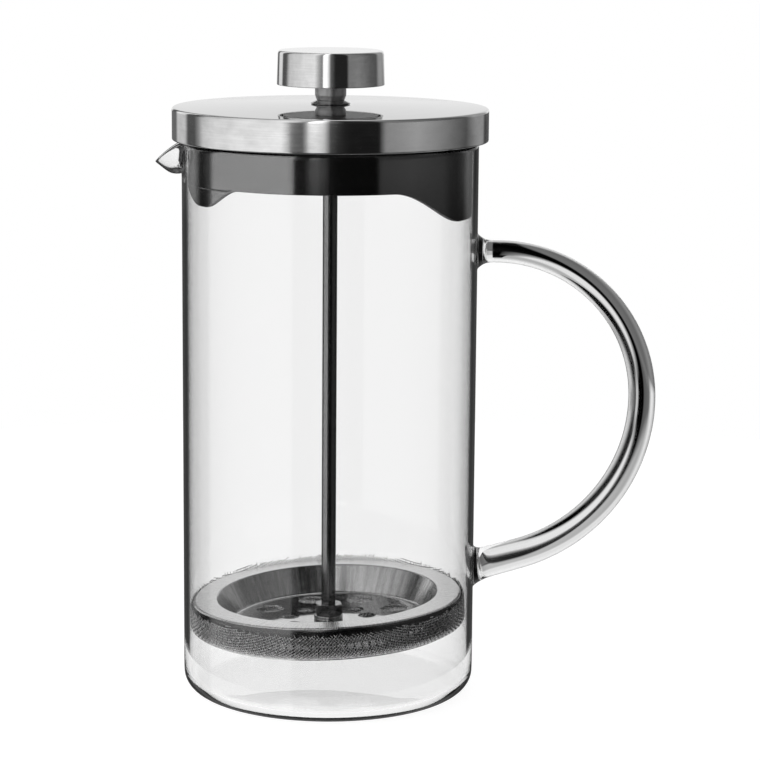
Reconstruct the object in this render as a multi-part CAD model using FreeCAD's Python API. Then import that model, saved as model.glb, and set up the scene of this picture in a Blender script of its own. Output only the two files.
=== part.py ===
import FreeCAD, Part
import math
import os

# French press: a glass beaker with a fused glass handle, a steel lid with a
# plastic pour ring, and a plunger with a layered filter.
# Millimetres, +Z up. Origin: centre of the beaker's underside.
# +X points to the handle, -X to the spout. The plunger is pressed down.

V = FreeCAD.Vector
UP = V(0, 0, 1)
Y_AXIS = V(0, 1, 0)
OVER = 2.0                # how far a cutter runs past the faces it cuts
AMPLE = 40.0              # a length beyond any spout, skirt or slot

# --- glass beaker ---
GLASS_R = 48.5            # outer radius of the tube
WALL = 1.8
BASE_T = 2.4
HEEL_R = 6.4              # outer radius between wall and base
RIM_Z = 183.5             # top of the fire-polished rim
RIM_ROUND = 0.7
BORE_R = GLASS_R - WALL

# --- pour spout, a trough pulled out of the rim; points are (x, z) ---
SPOUT_ROOT = (-48.0, 171.4)       # where its keel leaves the wall
SPOUT_TIP = (-57.6, 177.2)
SPOUT_LIP = (-50.7, 182.9)        # where its lip leaves the rim
SPOUT_R = 9.0
SPOUT_WALL = 1.6
SPOUT_OVERLAP = 3.0       # how far the beak reaches into the wall before it is trimmed

# --- fused handle, a tapered glass rod ---
HANDLE_TOP_Z = 147.65
HANDLE_MID_Z = 98.68
HANDLE_OUT_X = 104.0      # centre of the rod at its furthest point
HANDLE_TOP_R = HANDLE_TOP_Z - HANDLE_MID_Z
HANDLE_LOW_R = 55.3
HANDLE_LOW_TURN = 74.3    # degrees of the lower arc before it runs straight
ROD_TOP, ROD_MID, ROD_LOW = 3.6, 4.5, 5.2      # radii of the glass rod
ROOT_TOP, ROOT_LOW = 6.3, 7.4                  # radii where it meets the wall
# flare of both roots: (x of the section, its radius)
TOP_FLARE = ((47.0, ROOT_TOP), (49.2, 5.4), (51.2, 4.2), (53.4, ROD_TOP))
LOW_FLARE = ((54.4, ROD_LOW), (52.0, 5.5), (49.6, 6.5), (46.6, ROOT_LOW))
ARC_STATIONS = 8

# --- steel lid ---
LID_R = 51.6
LID_LIP_R = 51.2          # the side turns in to this radius at its lower edge
LID_BEND_Z = 186.0        # where it starts to turn in
LID_LOW_Z = 184.1
LID_EDGE_Z = 194.7
LID_CROWN_Z = 195.3
LID_FLAT_R = 8.0
LID_ROUND = 1.2
SHEET = 0.8

# --- plastic pour ring under the lid ---
RING_GAP = 0.3            # to the steel lid, on which it turns
RING_R = LID_R - SHEET - RING_GAP
RING_SEAT_R = 48.6
RING_CONE_Z = 185.8
RING_TOP_Z = 191.0
RING_WEB_T = 1.6
RING_HOLE_R = 9.5
RIM_GAP = 0.2             # between the seat and the glass rim
RING_SEAT_Z = RIM_Z + RIM_GAP
SKIRT_R = 46.4
SKIRT_T = 1.5
SKIRT_LONG_Z = 160.2      # lower edge of the apron at the handle side
SKIRT_SHORT_Z = 170.9     # lower edge at the front, back and spout sides
EAR_FROM, EAR_TO = 8.0, 52.0      # degrees from the spout, on both sides of it
EAR_RAMP = 20.0
EAR_DEPTH = 6.3
EAR_STEP = 0.35
EAR_REACH_X = 25.0        # the ears' step ends this far from the middle
SKIRT_STEP = 5            # degrees between points of the skirt's edge
APRON_FROM, APRON_RAMP = 115.0, 37.0
SLOTS = 5
SLOT_W = 2.0
SLOT_Z = (172.5, 181.5)
SLOT_STEP = 5.5           # degrees between pour slots

# --- bush that guides the rod, with its washer and nut ---
SHAFT_R = 2.4
FIT = 0.05                # radial running clearance
COLLAR_LOW_R, COLLAR_TOP_R = 6.55, 4.5
COLLAR_TOP_Z = 196.9
COLLAR_EDGE = 0.35        # height of the collar's straight rim
COLLAR_LIFT = 0.05        # its working gap over the lid's crown
SHANK_R = 4.0
SHANK_LOW_Z = 188.0
BUSH_WASHER_T = 0.8
BUSH_WASHER_R = 6.6
BUSH_NUT_FLATS = 10.0
BUSH_NUT_H = 3.0
NUT_CHAMFER = 0.5         # depth of both nuts' chamfers at the corners

# --- knob ---
KNOB_LOW_Z, KNOB_TOP_Z = 201.9, 213.1
KNOB_LOW_R, KNOB_TOP_R = 17.5, 16.8
KNOB_WALL = 0.8
KNOB_ROUND = 1.0
KNOB_BASE_T = 1.6
KNOB_PLUG_GAP = 0.1
NECK_R = 5.1
NECK_TAPER_Z = 198.6
NECK_FOOT_R = 4.5
THREAD_R = 2.0
ROD_TOP_Z = 208.0
ROD_STEP_Z = 200.0        # the shaft narrows to its thread above this height

# --- filter stack, from its hub upwards ---
HUB_LOW_Z = 16.4
HUB_R = 5.6
HUB_ROUND = 1.2
HUB_BOSS_R = 4.0
HUB_SKIN = 1.5                     # metal under the end of the hub's thread
PLATE_T = 0.6
LOW_PLATE_Z = 20.4
LOW_PLATE_R = 42.4
LOW_OUTER_HOLES = (8, 26.0, 8.0, 22.5)     # count, ring radius, hole radius, first azimuth
LOW_INNER_HOLES = (4, 12.0, 3.5, 45.0)
MESH_T = 0.3
MESH_R = BORE_R - 0.3
MESH_CORNER = 3.4
MESH_TOP_Z = 31.0
DISH_FLOOR_Z = 23.0
DISH_FLOOR_R = 32.4
DISH_RIM_Z = 32.0
DISH_RIM_IN_R, DISH_RIM_OUT_R = 37.1, 45.2
DISH_LIP_Z = 28.3
DISH_BEND = 1.4
DISH_STEP = 0.4                    # sideways thickness of the dish's sloping wall
SMALL_HOLE = (13.2, 3.0, 16.0)     # ring radius, hole radius, first azimuth
LARGE_HOLE = (24.6, 4.7, 33.5)
DISH_HOLES = 9
COIL_R = 43.0                      # ring radius of the wound edge spring
COIL_TUBE_R = 2.8
COIL_Z = 24.5
COIL_T = 0.3
COIL_MOUTH = (1.6, 0.8)            # inward depth and half height of the ring's open side
WASHER_R, WASHER_T = 4.85, 1.4
NUT_CORNERS, NUT_H = 9.8, 3.8
NUT_TURN = 8.0                     # azimuth of the clamp nut's first corner


def save(name, shape):
    shape.exportStep(os.path.join("parts", name + ".step"))


def profile(points):
    """Solid of revolution about Z from an outline of (radius, height) points."""
    outline = [V(r, 0, z) for r, z in points]
    face = Part.Face(Part.makePolygon(outline + outline[:1]))
    return face.revolve(V(0, 0, 0), UP, 360)


def disc(radius, low, high):
    return Part.makeCylinder(radius, high - low, V(0, 0, low))


def polar(radius, azimuth, z=0.0):
    """Point at an azimuth counted from -Y towards +X."""
    angle = math.radians(azimuth)
    return V(radius * math.sin(angle), -radius * math.cos(angle), z)


def circle(centre, normal, radius):
    return Part.Wire(Part.Circle(centre, normal, radius).toShape())


def hexagon(corners, low, high, turn=0.0):
    points = [polar(corners / 2, turn + 60 * i, low) for i in range(7)]
    return Part.Face(Part.makePolygon(points)).extrude(UP * (high - low))


def rounded(shape, radius, keep):
    """Fillet the edges whose centre passes the test."""
    edges = [e for e in shape.Edges if keep(e.CenterOfMass, e)]
    return shape.makeFillet(radius, edges)


def at_height(z, tolerance=0.01):
    return lambda centre, edge: abs(centre.z - z) < tolerance and len(edge.Vertexes) < 2


def spout_trough(radius):
    """Inclined cylinder along the keel of the spout."""
    root = V(SPOUT_ROOT[0], 0, SPOUT_ROOT[1])
    along = V(SPOUT_TIP[0], 0, SPOUT_TIP[1]) - root
    along.normalize()
    square = V(along.z, 0, -along.x)          # from the keel up to the trough's axis
    start = root + square * SPOUT_R - along * SPOUT_R
    return Part.makeCylinder(radius, AMPLE, start, along)


def spout_space():
    """Where the beak may be: outside the tube and under its sloping lip."""
    slope = (SPOUT_LIP[1] - SPOUT_TIP[1]) / (SPOUT_LIP[0] - SPOUT_TIP[0])
    near = SPOUT_OVERLAP - GLASS_R
    low = SPOUT_ROOT[1] - AMPLE / 2
    side = [
        V(SPOUT_TIP[0], -AMPLE, SPOUT_TIP[1]),
        V(SPOUT_TIP[0], -AMPLE, low),
        V(near, -AMPLE, low),
        V(near, -AMPLE, min(RIM_Z - RIM_ROUND, SPOUT_TIP[1] + slope * (near - SPOUT_TIP[0]))),
        V(SPOUT_LIP[0], -AMPLE, SPOUT_LIP[1] - RIM_ROUND),
    ]
    return Part.Face(Part.makePolygon(side + side[:1])).extrude(Y_AXIS * 2 * AMPLE)


def glass_beaker():
    outer = rounded(Part.makeCylinder(GLASS_R, RIM_Z), HEEL_R, at_height(0))
    inner = Part.makeCylinder(BORE_R, RIM_Z, V(0, 0, BASE_T))
    inner = rounded(inner, HEEL_R - WALL, at_height(BASE_T))
    tube = rounded(outer.cut(inner), RIM_ROUND, at_height(RIM_Z))
    beak = spout_trough(SPOUT_R).common(spout_space()).cut(inner)
    channel = spout_trough(SPOUT_R - SPOUT_WALL)
    return tube.fuse(beak).cut(channel)


def handle_stations():
    """(point, tangent, radius) along the rod, from the upper root to the lower."""
    stations = []
    for x, r in TOP_FLARE:
        stations.append((V(x, 0, HANDLE_TOP_Z), V(1, 0, 0), r))
    top_x = HANDLE_OUT_X - HANDLE_TOP_R
    for i in range(ARC_STATIONS + 1):
        t = i / ARC_STATIONS
        a = math.radians(90 - 90 * t)
        point = V(top_x + HANDLE_TOP_R * math.cos(a), 0, HANDLE_MID_Z + HANDLE_TOP_R * math.sin(a))
        stations.append((point, V(math.sin(a), 0, -math.cos(a)), ROD_TOP + (ROD_MID - ROD_TOP) * t))
    low_x = HANDLE_OUT_X - HANDLE_LOW_R
    for i in range(1, ARC_STATIONS + 1):
        t = i / ARC_STATIONS
        a = math.radians(-HANDLE_LOW_TURN * t)
        point = V(low_x + HANDLE_LOW_R * math.cos(a), 0, HANDLE_MID_Z + HANDLE_LOW_R * math.sin(a))
        stations.append((point, V(math.sin(a), 0, -math.cos(a)), ROD_MID + (ROD_LOW - ROD_MID) * t))
    end, along = stations[-1][0], stations[-1][1]
    for x, r in LOW_FLARE:
        stations.append((end + along * ((x - end.x) / along.x), along, r))
    return stations


def glass_handle():
    wires = [circle(point, tangent, r) for point, tangent, r in handle_stations()]
    rod = Part.makeLoft(wires, True, False)
    return rod.cut(Part.makeCylinder(GLASS_R, RIM_Z))


def lid_cap():
    shell = profile([
        (SHANK_R + FIT, LID_CROWN_Z),
        (LID_FLAT_R, LID_CROWN_Z),
        (LID_R, LID_EDGE_Z),
        (LID_R, LID_BEND_Z),
        (LID_LIP_R, LID_LOW_Z),
        (LID_LIP_R - SHEET, LID_LOW_Z),
        (LID_R - SHEET, LID_BEND_Z),
        (LID_R - SHEET, LID_EDGE_Z - SHEET),
        (LID_FLAT_R, LID_CROWN_Z - SHEET),
        (SHANK_R + FIT, LID_CROWN_Z - SHEET),
    ])
    outer_edge = lambda c, e: at_height(LID_EDGE_Z)(c, e) and e.Length > 2 * math.pi * (LID_R - RING_GAP)
    return rounded(shell, LID_ROUND, outer_edge)


def smooth(t):
    t = min(1.0, max(0.0, t))
    return t * t * (3 - 2 * t)


def skirt_edge_z(azimuth):
    """Height of the skirt's lower edge: long at the handle, with two ears by the spout."""
    away = abs((azimuth + 90 + 180) % 360 - 180)      # degrees from the spout
    ear = smooth((away - EAR_FROM) / EAR_RAMP) * smooth((EAR_TO - away) / EAR_RAMP)
    apron = smooth((away - APRON_FROM) / APRON_RAMP)
    return SKIRT_SHORT_Z - ear * EAR_DEPTH - apron * (SKIRT_SHORT_Z - SKIRT_LONG_Z)


def skirt_cutter():
    """Everything under the wavy lower edge of the skirt."""
    edges = []
    for r in (SKIRT_R - SKIRT_T - OVER, SKIRT_R + OVER):
        curve = Part.BSplineCurve()
        points = [polar(r, a, skirt_edge_z(a)) for a in range(0, 360, SKIRT_STEP)]
        curve.interpolate(Points=points, PeriodicFlag=True)
        edges.append(curve.toShape())
    return Part.makeRuledSurface(edges[0], edges[1]).extrude(UP * -AMPLE)


def ear_step():
    """Shallow step that sets the outside of the two ears back from the skirt."""
    ring = profile([
        (SKIRT_R - EAR_STEP, SKIRT_LONG_Z - OVER),
        (SKIRT_R - EAR_STEP, SKIRT_SHORT_Z - 2 * EAR_STEP),
        (SKIRT_R + EAR_STEP, SKIRT_SHORT_Z),
        (SKIRT_R + OVER, SKIRT_SHORT_Z),
        (SKIRT_R + OVER, SKIRT_LONG_Z - OVER),
    ])
    spout_side = Part.makeBox(AMPLE, 4 * AMPLE, AMPLE, V(-EAR_REACH_X - AMPLE, -2 * AMPLE, SKIRT_LONG_Z - OVER))
    return ring.common(spout_side)


def lid_insert():
    web_z = RING_TOP_Z - RING_WEB_T
    ring = profile([
        (SKIRT_R, SKIRT_LONG_Z),
        (SKIRT_R, RING_SEAT_Z),
        (RING_SEAT_R, RING_SEAT_Z),
        (RING_R, RING_CONE_Z),
        (RING_R, RING_TOP_Z),
        (RING_HOLE_R, RING_TOP_Z),
        (RING_HOLE_R, web_z),
        (SKIRT_R - SKIRT_T, web_z),
        (SKIRT_R - SKIRT_T, SKIRT_LONG_Z),
    ])
    ring = ring.cut(skirt_cutter()).cut(ear_step())
    for i in range(SLOTS):
        turn = (i - (SLOTS - 1) / 2) * SLOT_STEP
        height = SLOT_Z[1] - SLOT_Z[0]
        length = SKIRT_T + 4 * OVER
        slot = Part.makeBox(length, SLOT_W, height, V(-SKIRT_R - OVER, -SLOT_W / 2, SLOT_Z[0]))
        slot.rotate(V(0, 0, 0), UP, turn)
        ring = ring.cut(slot)
    return ring


def rod_bush():
    foot = LID_CROWN_Z + COLLAR_LIFT
    return profile([
        (SHAFT_R + FIT, SHANK_LOW_Z),
        (SHANK_R, SHANK_LOW_Z),
        (SHANK_R, foot),
        (COLLAR_LOW_R, foot),
        (COLLAR_LOW_R, foot + COLLAR_EDGE),
        (COLLAR_TOP_R, COLLAR_TOP_Z),
        (SHAFT_R + FIT, COLLAR_TOP_Z),
    ])


def washer(bore, radius, low, high):
    return disc(radius, low, high).cut(disc(bore, low, high))


def nut(bore, corners, low, high, turn=0.0):
    """Hex nut with its corners chamfered at both faces."""
    body = hexagon(corners, low, high, turn)
    inner, outer = corners / 2 - NUT_CHAMFER, corners / 2 + NUT_CHAMFER
    bottom = Part.makeCone(inner, outer, 2 * NUT_CHAMFER, V(0, 0, low))
    top = Part.makeCone(outer, inner, 2 * NUT_CHAMFER, V(0, 0, high - 2 * NUT_CHAMFER))
    middle = disc(outer, low + 2 * NUT_CHAMFER, high - 2 * NUT_CHAMFER)
    body = body.common(bottom.fuse(middle).fuse(top))
    return body.cut(disc(bore, low - OVER, high + OVER))


def bush_stack():
    """Washer and nut that hold the bush under the lid's sheet."""
    top = LID_CROWN_Z - SHEET - COLLAR_LIFT
    washer_low = top - BUSH_WASHER_T
    corners = BUSH_NUT_FLATS / math.cos(math.radians(30))
    return (washer(SHANK_R, BUSH_WASHER_R, washer_low, top),
            nut(SHANK_R, corners, washer_low - BUSH_NUT_H, washer_low))


def knob_shell():
    outer = Part.makeCone(KNOB_LOW_R, KNOB_TOP_R, KNOB_TOP_Z - KNOB_LOW_Z, V(0, 0, KNOB_LOW_Z))
    outer = rounded(outer, KNOB_ROUND, at_height(KNOB_TOP_Z))
    inner = Part.makeCone(KNOB_LOW_R - KNOB_WALL, KNOB_TOP_R - KNOB_WALL,
                          KNOB_TOP_Z - KNOB_WALL - KNOB_LOW_Z, V(0, 0, KNOB_LOW_Z))
    return outer.cut(inner)


def knob_base():
    radius = KNOB_TOP_R - KNOB_WALL - KNOB_PLUG_GAP
    return washer(THREAD_R, radius, KNOB_LOW_Z, KNOB_LOW_Z + KNOB_BASE_T)


def knob_core():
    low, high = KNOB_LOW_Z + KNOB_BASE_T, KNOB_TOP_Z - KNOB_WALL
    radius = KNOB_TOP_R - KNOB_WALL - KNOB_PLUG_GAP
    return disc(radius, low, high).cut(disc(THREAD_R, low, ROD_TOP_Z))


def knob_neck():
    foot = COLLAR_TOP_Z + COLLAR_LIFT
    return profile([
        (SHAFT_R, foot),
        (NECK_FOOT_R, foot),
        (NECK_R, NECK_TAPER_Z),
        (NECK_R, KNOB_LOW_Z),
        (THREAD_R, KNOB_LOW_Z),
        (THREAD_R, ROD_STEP_Z),
        (SHAFT_R, ROD_STEP_Z),
    ])


def plunger_rod():
    shaft = disc(SHAFT_R, DISH_FLOOR_Z + WASHER_T + NUT_H, ROD_STEP_Z)
    return shaft.fuse(disc(THREAD_R, HUB_LOW_Z + HUB_SKIN, ROD_TOP_Z)).removeSplitter()


def dish_plate():
    """Pressed dish: floor, sloping wall, flat rim and a turned-down lip."""
    t = PLATE_T
    plate = profile([
        (THREAD_R, DISH_FLOOR_Z),
        (DISH_FLOOR_R, DISH_FLOOR_Z),
        (DISH_RIM_IN_R, DISH_RIM_Z),
        (DISH_RIM_OUT_R, DISH_RIM_Z),
        (DISH_RIM_OUT_R, DISH_LIP_Z),
        (DISH_RIM_OUT_R - t, DISH_LIP_Z),
        (DISH_RIM_OUT_R - t, DISH_RIM_Z - t),
        (DISH_RIM_IN_R + DISH_STEP, DISH_RIM_Z - t),
        (DISH_FLOOR_R + DISH_STEP, DISH_FLOOR_Z - t),
        (THREAD_R, DISH_FLOOR_Z - t),
    ])
    plate.rotate(V(0, 0, 0), UP, 90)          # its seam lies at the back
    outer_edge = lambda c, e: at_height(DISH_RIM_Z)(c, e) and e.Length > 2 * math.pi * (DISH_RIM_OUT_R - MESH_T)
    plate = rounded(plate, DISH_BEND, outer_edge)
    for ring_r, hole_r, first in (SMALL_HOLE, LARGE_HOLE):
        for i in range(DISH_HOLES):
            centre = polar(ring_r, first + 360 / DISH_HOLES * i, DISH_FLOOR_Z - OVER)
            plate = plate.cut(Part.makeCylinder(hole_r, 2 * OVER, centre))
    return plate


def edge_coil():
    """Thin C-section ring with the outer size of the wound spring, open inwards."""
    outer = Part.makeTorus(COIL_R, COIL_TUBE_R, V(0, 0, COIL_Z))
    inner = Part.makeTorus(COIL_R, COIL_TUBE_R - COIL_T, V(0, 0, COIL_Z))
    mouth = disc(COIL_R - COIL_MOUTH[0], COIL_Z - COIL_MOUTH[1], COIL_Z + COIL_MOUTH[1])
    return outer.cut(inner).cut(mouth)


def mesh_screen():
    """Woven screen, drawn up round the edge spring like a shallow cup."""
    low = LOW_PLATE_Z + PLATE_T
    outer = rounded(disc(MESH_R, low, MESH_TOP_Z), MESH_CORNER, at_height(low))
    inner = rounded(disc(MESH_R - MESH_T, low + MESH_T, MESH_TOP_Z + OVER),
                    MESH_CORNER - MESH_T, at_height(low + MESH_T))
    return outer.cut(inner).cut(disc(HUB_BOSS_R, low - OVER, low + OVER))


def cross_plate():
    """Lower plate with eight round openings between its hub and rim."""
    plate = washer(HUB_BOSS_R, LOW_PLATE_R, LOW_PLATE_Z, LOW_PLATE_Z + PLATE_T)
    for count, ring_r, hole_r, first in (LOW_OUTER_HOLES, LOW_INNER_HOLES):
        for i in range(count):
            centre = polar(ring_r, first + 360 / count * i, LOW_PLATE_Z - OVER)
            plate = plate.cut(Part.makeCylinder(hole_r, PLATE_T + 2 * OVER, centre))
    return plate


def filter_hub():
    """Threaded hub that clamps the stack from below."""
    head = rounded(disc(HUB_R, HUB_LOW_Z, LOW_PLATE_Z), HUB_ROUND, at_height(HUB_LOW_Z))
    boss = disc(HUB_BOSS_R, LOW_PLATE_Z, DISH_FLOOR_Z - PLATE_T)
    thread = disc(THREAD_R, HUB_LOW_Z + HUB_SKIN, DISH_FLOOR_Z)
    return head.fuse(boss).cut(thread).removeSplitter()


def main():
    os.makedirs("parts", exist_ok=True)
    bush_washer, bush_nut = bush_stack()
    washer_top = DISH_FLOOR_Z + WASHER_T
    nodes = {
        "glass_beaker": glass_beaker(),
        "glass_handle": glass_handle(),
        "lid_cap": lid_cap(),
        "pour_ring": lid_insert(),
        "rod_bush": rod_bush(),
        "bush_washer": bush_washer,
        "bush_nut": bush_nut,
        "knob_shell": knob_shell(),
        "knob_core": knob_core(),
        "knob_base": knob_base(),
        "knob_neck": knob_neck(),
        "plunger_rod": plunger_rod(),
        "clamp_nut": nut(THREAD_R, NUT_CORNERS, washer_top, washer_top + NUT_H, NUT_TURN),
        "clamp_washer": washer(THREAD_R, WASHER_R, DISH_FLOOR_Z, washer_top),
        "dish_plate": dish_plate(),
        "edge_coil": edge_coil(),
        "mesh_screen": mesh_screen(),
        "cross_plate": cross_plate(),
        "filter_hub": filter_hub(),
    }
    for name, shape in nodes.items():
        print(name, shape.isValid(), len(shape.Solids), round(shape.Volume, 1))
        save(name, shape)


main()
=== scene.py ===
import math
import random

import bmesh
import bpy
from mathutils import Matrix, Vector


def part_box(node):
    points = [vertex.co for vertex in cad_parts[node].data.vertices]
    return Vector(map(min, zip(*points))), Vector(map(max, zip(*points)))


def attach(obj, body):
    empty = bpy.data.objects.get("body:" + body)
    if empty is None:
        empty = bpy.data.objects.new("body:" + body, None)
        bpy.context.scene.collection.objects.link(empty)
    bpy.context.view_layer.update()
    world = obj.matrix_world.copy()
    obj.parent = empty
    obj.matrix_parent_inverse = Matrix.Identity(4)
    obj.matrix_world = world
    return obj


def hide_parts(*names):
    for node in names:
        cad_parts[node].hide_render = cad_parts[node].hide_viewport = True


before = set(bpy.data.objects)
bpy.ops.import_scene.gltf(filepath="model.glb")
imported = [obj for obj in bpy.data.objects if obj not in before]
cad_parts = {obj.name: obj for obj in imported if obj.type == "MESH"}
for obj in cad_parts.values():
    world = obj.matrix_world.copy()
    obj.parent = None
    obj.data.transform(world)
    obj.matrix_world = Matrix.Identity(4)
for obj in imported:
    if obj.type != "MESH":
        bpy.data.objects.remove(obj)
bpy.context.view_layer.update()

# French press. The helpers work in millimetres and scale each mesh to metres.
MM = 0.001


def span(node):
    """Lowest and highest corner of a CAD node, in millimetres."""
    low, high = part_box(node)
    return low / MM, high / MM


# --- sizes read from the frame ---
BEAKER_LOW, BEAKER_HIGH = span("glass_beaker")
LID_LOW, LID_HIGH = span("lid_cap")
RING_LOW, RING_HIGH = span("pour_ring")
BUSH_LOW, BUSH_HIGH = span("rod_bush")
KNOB_LOW, KNOB_HIGH = span("knob_shell")
BASE_HIGH = span("knob_base")[1]
NECK_LOW, NECK_HIGH = span("knob_neck")
ROD_LOW, ROD_HIGH = span("plunger_rod")
NUT_LOW, NUT_HIGH = span("clamp_nut")
WASHER_LOW, WASHER_HIGH = span("clamp_washer")
DISH_LOW, DISH_HIGH = span("dish_plate")
COIL_LOW, COIL_HIGH = span("edge_coil")
SCREEN_LOW, SCREEN_HIGH = span("mesh_screen")
CROSS_LOW, CROSS_HIGH = span("cross_plate")
HUB_LOW, HUB_HIGH = span("filter_hub")

# --- glass ---
GLASS_R = BEAKER_HIGH.x
RIM_Z = BEAKER_HIGH.z
SPOUT_TIP_R = -BEAKER_LOW.x
WALL = 1.8
BASE_T = 2.4
HEEL_R = 6.4
HEEL_STEPS = 6
BASE_RINGS = (12, 24, 34, 39)
COLUMNS = 160
ROOT_HALF = 4                 # half the side of a handle root's square opening, in grid cells
SPOUT_FOOT_Z = RIM_Z - 9.6
SPOUT_ROWS = 11
SPOUT_HALF_WIDTH = 10.8
SPOUT_WALL = 0.65
SPOUT_DROP = 6.9              # how far the lip's tip lies under the rim
SPOUT_BELLY = (4.6, -0.9)     # its underside's control point, out from the wall and up from its foot
SPOUT_FALL = 1.6              # power by which the lip falls towards its tip
SPOUT_INSET = 0.7
BEND_TOP_Z = 147.65           # centre of the handle's upper root
BEND_MID_Z = 98.68            # height of the handle's furthest point
BEND_OUT_X = 104.0
BEND_TOP_R = BEND_TOP_Z - BEND_MID_Z
BEND_LOW_R = 55.3
BEND_LOW_TURN = math.radians(74.3)
ROD_RADII = (3.6, 4.5, 5.2)   # glass rod at its top, middle and lower end
ROOT_RADII = (5.8, 6.8)       # where it meets the wall, above and below
ROOT_FLARE = 4.4
ROD_END = 8.0                 # stretch of the rod next to each root with stations of its own

# --- steel and plastic ---
SHEET = 0.8
LID_R = LID_HIGH.x
LID_HOLE_R = 4.05
CROWN_R = 8.0                 # flat middle of the lid, which falls off from it to the edge
CROWN_LIFT = 0.3              # how far it stands above the lid in CAD
CROWN_FALL = 0.6              # how far the lid's edge lies under the CAD crown
MIRROR_DOME = 1.3             # height of the dome that the lid's top mirrors like
SKIRT_R = 46.4
SKIRT_T = 1.5
SEAT_R = 48.6
SKIRT_SHORT_Z = 170.9
EAR_FROM, EAR_TO, EAR_RAMP, EAR_DEPTH = 8.0, 52.0, 20.0, 6.3
EAR_STEP, EAR_GROOVE_TO = 0.35, 70      # depth of the groove over the ears, and where it ends
APRON_FROM, APRON_RAMP = 115.0, 37.0
SLOTS, SLOT_W, SLOT_STEP = 5, 2.0, 5.5
SLOT_Z = (172.5, 181.5)
WEB_T = 1.6
RING_HOLE_R = 9.5
RIM_GAP = 0.2
KNOB_WALL = 0.8
KNOB_TAPER = 0.3              # how much narrower the knob is at its top
KNOB_BASE_T = 1.6
NECK_FOOT_R = 4.5
THREAD_R = 2.0
THREAD_PITCH = 0.7
THREAD_DEPTH = 0.32
THREAD_TOP = 1.9              # length of the rod's upper thread inside the neck
SHANK_R = 4.0
NUT_CORNER_R = 4.9
NUT_CHAMFER_R = 0.87 * NUT_CORNER_R
NUT_TURN = 8.0
BOSS_R = 4.0                  # neck of the hub, on which the lower plate sits
PLATE_T = 0.6
SMALL_HOLE = (13.2, 3.0, 16.0)    # ring radius, hole radius, first azimuth
LARGE_HOLE = (24.6, 4.7, 33.5)
DISH_HOLES = 9
DISH_FLOOR_R = 32.4
DISH_RIM_IN_R = 37.1
DISH_LIP = 3.7
CROSS_OUTER = (8, 26.0, 8.0, 22.5)    # count, ring radius, hole radius, first azimuth
CROSS_INNER = (4, 12.0, 3.5, 45.0)
LEAN = math.radians(2.4)
WIRE_R = 0.14
WEAVE = 0.86                      # distance between neighbouring wires
SCREEN_CORNER = 3.4
SCREEN_BORE = 4.3
SCREEN_GAP = 0.4                  # inside the CAD screen's side, clear of the glass
SCREEN_DIP, SCREEN_RISE = 0.4, 1.8    # its edge: mean depth under the CAD edge, and rise to the back
FRAY = (-0.5, 0.7)                # shortest and longest loose end at the edge
COIL_TURNS = 104
COIL_SIDES = 14                   # points in each turn
COIL_WIRE_R = 0.3


# --- geometry helpers ---
def polar(radius, azimuth, z=0.0):
    """Point at an azimuth in degrees, counted from -Y towards +X."""
    angle = math.radians(azimuth)
    return Vector((radius * math.sin(angle), -radius * math.cos(angle), z))


def smooth(t):
    t = min(1.0, max(0.0, t))
    return t * t * (3 - 2 * t)


def mix(a, b, t):
    return a + (b - a) * t


def rounded(corners, steps=5):
    """Outline through (r, z) or (r, z, radius) corners, with the radius worked in as a curve."""
    outline = []
    count = len(corners)
    for i, corner in enumerate(corners):
        here = Vector(corner[:2])
        if len(corner) < 3:
            outline.append(tuple(here))
            continue
        before = Vector(corners[i - 1][:2]) - here
        after = Vector(corners[(i + 1) % count][:2]) - here
        reach = corner[2] / math.tan(before.angle(after) / 2)
        reach = min(reach, 0.48 * before.length, 0.48 * after.length)
        start = here + before.normalized() * reach
        end = here + after.normalized() * reach
        for k in range(steps + 1):
            t = k / steps
            outline.append(tuple(start * (1 - t) ** 2 + here * 2 * t * (1 - t) + end * t * t))
    return outline


def join_rings(bm, rings, closed=False):
    """Quads or triangles between rings of vertices, where a ring of one vertex is a pole."""
    pairs = list(zip(rings, rings[1:]))
    if closed:
        pairs.append((rings[-1], rings[0]))
    for a, b in pairs:
        count = max(len(a), len(b))
        for i in range(count):
            j = (i + 1) % count
            corners = [a[i % len(a)], a[j % len(a)], b[j % len(b)], b[i % len(b)]]
            bm.faces.new(list(dict.fromkeys(corners)))


def lathe(outline, segments=128):
    """Mesh turned about Z from (r, z) points. It is closed unless it starts and ends on the axis."""
    bm = bmesh.new()
    rings = []
    for r, z in outline:
        if r < 1e-6:
            rings.append([bm.verts.new((0, 0, z))])
        else:
            rings.append([bm.verts.new(polar(r, 360 * i / segments, z)) for i in range(segments)])
    join_rings(bm, rings, closed=outline[0][0] > 1e-6)
    return bm


def tube(bm, points, normals, radius, sides=4, loop=False):
    """Wire along the points, whose normals turn its section."""
    rings = []
    count = len(points)
    for i, (point, normal) in enumerate(zip(points, normals)):
        ahead = points[(i + 1) % count] if loop or i + 1 < count else point
        behind = points[i - 1] if loop or i else point
        side = (ahead - behind).normalized().cross(normal)
        ring = []
        for k in range(sides):
            turn = 2 * math.pi * k / sides
            ring.append(bm.verts.new(point + (normal * math.cos(turn) + side * math.sin(turn)) * radius))
        rings.append(ring)
    join_rings(bm, rings, closed=loop)
    if not loop:
        bm.faces.new(rings[0][::-1])
        bm.faces.new(rings[-1])


def mesh_object(name, bm, recalc=True):
    """Object in the scene from a mesh in millimetres."""
    if recalc:
        bmesh.ops.recalc_face_normals(bm, faces=bm.faces)
    bmesh.ops.scale(bm, vec=(MM, MM, MM), verts=bm.verts)
    mesh = bpy.data.meshes.new(name)
    bm.to_mesh(mesh)
    bm.free()
    obj = bpy.data.objects.new(name, mesh)
    bpy.context.scene.collection.objects.link(obj)
    return obj


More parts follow.
